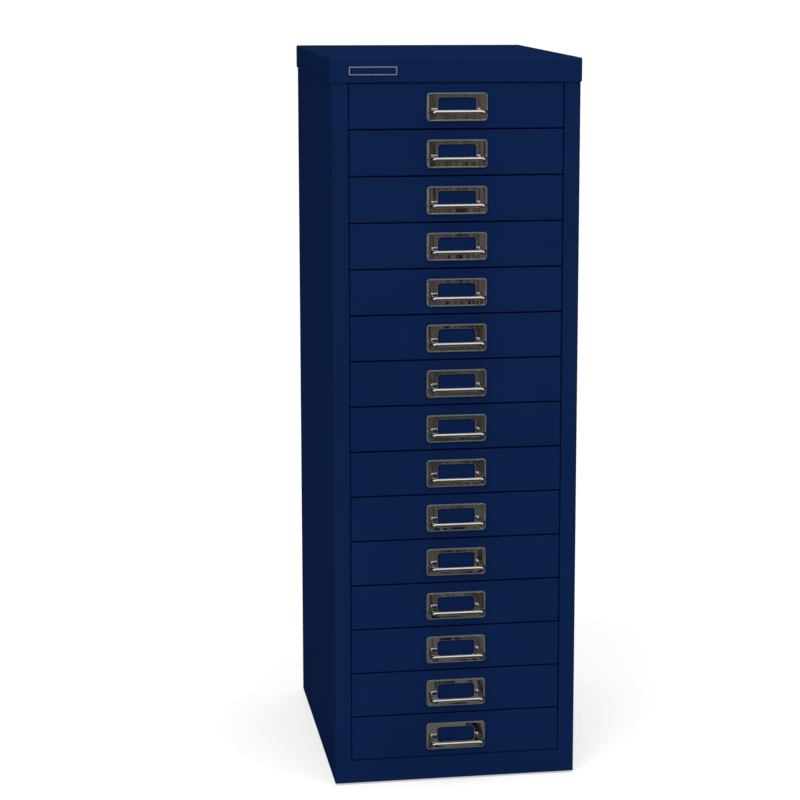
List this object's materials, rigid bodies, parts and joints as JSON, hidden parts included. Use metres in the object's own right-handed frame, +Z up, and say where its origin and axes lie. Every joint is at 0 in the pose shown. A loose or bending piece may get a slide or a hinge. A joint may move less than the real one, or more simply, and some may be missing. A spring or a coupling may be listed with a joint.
{
  "type": "multi-drawer cabinet",
  "caption": "Tall narrow steel cabinet with a stack of shallow sheet-size drawers, each with a bright label frame and a fixed pull bow, for filing papers and small supplies.",
  "frame": {"origin": "middle of the bounding box's bottom face, on the floor under the glides", "axes": "+Z up, +X to the right when facing the drawers, fronts and pulls towards -Y"},
  "size_m": [0.292, 0.399, 0.86],
  "materials": {
    "navy_paint": "satin navy powder coat",
    "chrome_plate": "bright nickel-chrome plate",
    "zinc_plate": "zinc-plated steel sheet",
    "rivet_aluminium": "plain aluminium rivet",
    "glide_plastic": "black nylon",
    "badge_metal": "brushed, blank"
  },
  "bodies": {
    "cabinet": {"left_side_panel": "navy_paint", "right_side_panel": "navy_paint", "back_panel": "navy_paint", "back_panel_rivets": "rivet_aluminium", "base_pan": "navy_paint", "foot_glides": "glide_plastic", "plinth_rail": "navy_paint", "header_rail": "navy_paint", "top_cap": "navy_paint", "badge_strip": "badge_metal", "left_runner_panel": "zinc_plate", "right_runner_panel": "zinc_plate", "left_runner_channels": "zinc_plate", "right_runner_channels": "zinc_plate"},
    "drawer_01": {"drawer_01_tray": "navy_paint", "drawer_01_label_frame": "chrome_plate", "drawer_01_pull_bow": "chrome_plate"},
    "drawer_02": {"drawer_02_tray": "navy_paint", "drawer_02_label_frame": "chrome_plate", "drawer_02_pull_bow": "chrome_plate"},
    "drawer_03": {"drawer_03_tray": "navy_paint", "drawer_03_label_frame": "chrome_plate", "drawer_03_pull_bow": "chrome_plate"},
    "drawer_04": {"drawer_04_tray": "navy_paint", "drawer_04_label_frame": "chrome_plate", "drawer_04_pull_bow": "chrome_plate"},
    "drawer_05": {"drawer_05_tray": "navy_paint", "drawer_05_label_frame": "chrome_plate", "drawer_05_pull_bow": "chrome_plate"},
    "drawer_06": {"drawer_06_tray": "navy_paint", "drawer_06_label_frame": "chrome_plate", "drawer_06_pull_bow": "chrome_plate"},
    "drawer_07": {"drawer_07_tray": "navy_paint", "drawer_07_label_frame": "chrome_plate", "drawer_07_pull_bow": "chrome_plate"},
    "drawer_08": {"drawer_08_tray": "navy_paint", "drawer_08_label_frame": "chrome_plate", "drawer_08_pull_bow": "chrome_plate"},
    "drawer_09": {"drawer_09_tray": "navy_paint", "drawer_09_label_frame": "chrome_plate", "drawer_09_pull_bow": "chrome_plate"},
    "drawer_10": {"drawer_10_tray": "navy_paint", "drawer_10_label_frame": "chrome_plate", "drawer_10_pull_bow": "chrome_plate"},
    "drawer_11": {"drawer_11_tray": "navy_paint", "drawer_11_label_frame": "chrome_plate", "drawer_11_pull_bow": "chrome_plate"},
    "drawer_12": {"drawer_12_tray": "navy_paint", "drawer_12_label_frame": "chrome_plate", "drawer_12_pull_bow": "chrome_plate"},
    "drawer_13": {"drawer_13_tray": "navy_paint", "drawer_13_label_frame": "chrome_plate", "drawer_13_pull_bow": "chrome_plate"},
    "drawer_14": {"drawer_14_tray": "navy_paint", "drawer_14_label_frame": "chrome_plate", "drawer_14_pull_bow": "chrome_plate"},
    "drawer_15": {"drawer_15_tray": "navy_paint", "drawer_15_label_frame": "chrome_plate", "drawer_15_pull_bow": "chrome_plate"}
  },
  "joints": [
    {"name": "drawer_01_slide", "type": "slide", "parent": "cabinet", "child": "drawer_01", "axis": [0, -1, 0], "range_m": [0, 0.3]},
    {"name": "drawer_02_slide", "type": "slide", "parent": "cabinet", "child": "drawer_02", "axis": [0, -1, 0], "range_m": [0, 0.3]},
    {"name": "drawer_03_slide", "type": "slide", "parent": "cabinet", "child": "drawer_03", "axis": [0, -1, 0], "range_m": [0, 0.3]},
    {"name": "drawer_04_slide", "type": "slide", "parent": "cabinet", "child": "drawer_04", "axis": [0, -1, 0], "range_m": [0, 0.3]},
    {"name": "drawer_05_slide", "type": "slide", "parent": "cabinet", "child": "drawer_05", "axis": [0, -1, 0], "range_m": [0, 0.3]},
    {"name": "drawer_06_slide", "type": "slide", "parent": "cabinet", "child": "drawer_06", "axis": [0, -1, 0], "range_m": [0, 0.3]},
    {"name": "drawer_07_slide", "type": "slide", "parent": "cabinet", "child": "drawer_07", "axis": [0, -1, 0], "range_m": [0, 0.3]},
    {"name": "drawer_08_slide", "type": "slide", "parent": "cabinet", "child": "drawer_08", "axis": [0, -1, 0], "range_m": [0, 0.3]},
    {"name": "drawer_09_slide", "type": "slide", "parent": "cabinet", "child": "drawer_09", "axis": [0, -1, 0], "range_m": [0, 0.3]},
    {"name": "drawer_10_slide", "type": "slide", "parent": "cabinet", "child": "drawer_10", "axis": [0, -1, 0], "range_m": [0, 0.3]},
    {"name": "drawer_11_slide", "type": "slide", "parent": "cabinet", "child": "drawer_11", "axis": [0, -1, 0], "range_m": [0, 0.3]},
    {"name": "drawer_12_slide", "type": "slide", "parent": "cabinet", "child": "drawer_12", "axis": [0, -1, 0], "range_m": [0, 0.3]},
    {"name": "drawer_13_slide", "type": "slide", "parent": "cabinet", "child": "drawer_13", "axis": [0, -1, 0], "range_m": [0, 0.3]},
    {"name": "drawer_14_slide", "type": "slide", "parent": "cabinet", "child": "drawer_14", "axis": [0, -1, 0], "range_m": [0, 0.3]},
    {"name": "drawer_15_slide", "type": "slide", "parent": "cabinet", "child": "drawer_15", "axis": [0, -1, 0], "range_m": [0, 0.3]}
  ]
}
